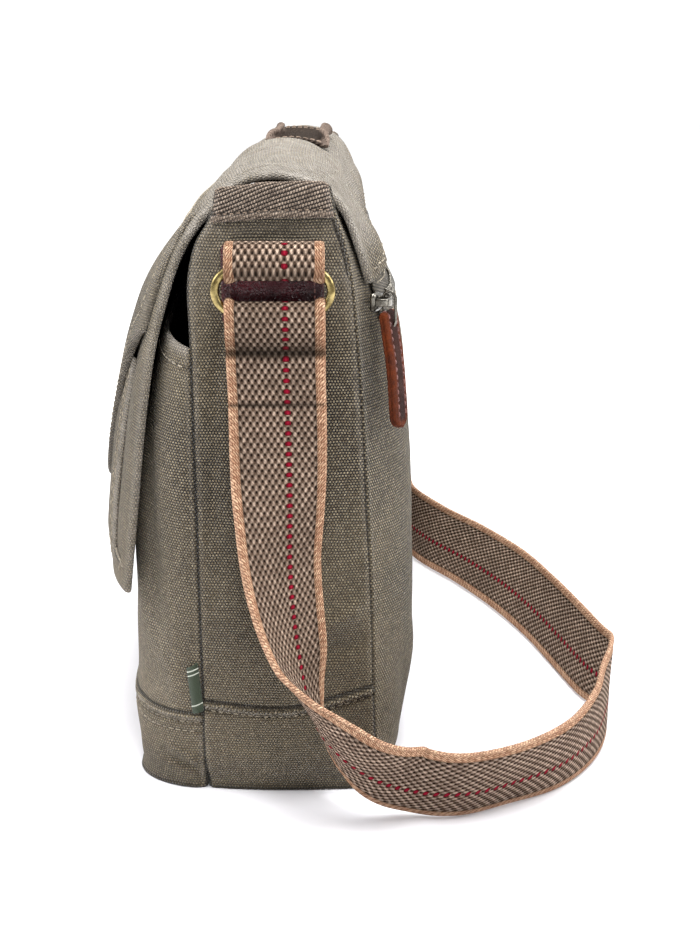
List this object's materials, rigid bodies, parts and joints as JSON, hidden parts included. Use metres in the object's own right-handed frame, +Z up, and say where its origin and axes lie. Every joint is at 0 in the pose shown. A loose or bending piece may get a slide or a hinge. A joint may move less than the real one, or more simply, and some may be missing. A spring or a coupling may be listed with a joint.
{
  "type": "canvas shoulder bag",
  "caption": "Stuffed canvas messenger bag standing on its base, with a front flap, pockets, a back zip, a carry handle and a webbing shoulder strap laid behind it.",
  "frame": {"origin": "middle of the underside of the base, on the floor", "axes": "+X along the bag's length to its right end, -Y to the front with the flap, +Z up"},
  "size_m": [0.4524, 0.2389, 0.2715],
  "materials": {
    "canvas": "washed olive-grey canvas",
    "twill_tape": "ribbed twill tape",
    "webbing": "woven taupe webbing with tan edges",
    "dark_leather": "smooth maroon leather",
    "brown_leather": "smooth brown leather",
    "brass": "aged brass",
    "nickel": "worn nickel",
    "zip_tape": "woven tape",
    "label_cloth": "green woven tape"
  },
  "bodies": {
    "root": {"end_panel_right": "canvas", "end_panel_left": "canvas", "end_band_right": "canvas", "end_band_left": "canvas", "front_panel": "canvas", "back_panel": "canvas", "bottom_panel": "canvas", "front_pocket_wall": "canvas", "front_pocket_band": "canvas", "front_pocket_base": "canvas", "flap": "canvas", "flap_pocket": "canvas", "pocket_flap": "canvas", "top_binding_right": "twill_tape", "top_binding_left": "twill_tape", "shoulder_strap": "webbing", "ring_tab_right": "webbing", "ring_tab_left": "webbing", "carry_handle": "webbing", "ring_patch_right": "dark_leather", "ring_patch_left": "dark_leather", "closure_tab_right": "brown_leather", "closure_tab_left": "brown_leather", "zip_pull": "brown_leather", "ring_right": "brass", "ring_left": "brass", "zip_chain": "nickel", "zip_slider": "nickel", "zip_bail": "nickel", "zip_tape": "zip_tape", "side_label": "label_cloth"}
  },
  "joints": []
}
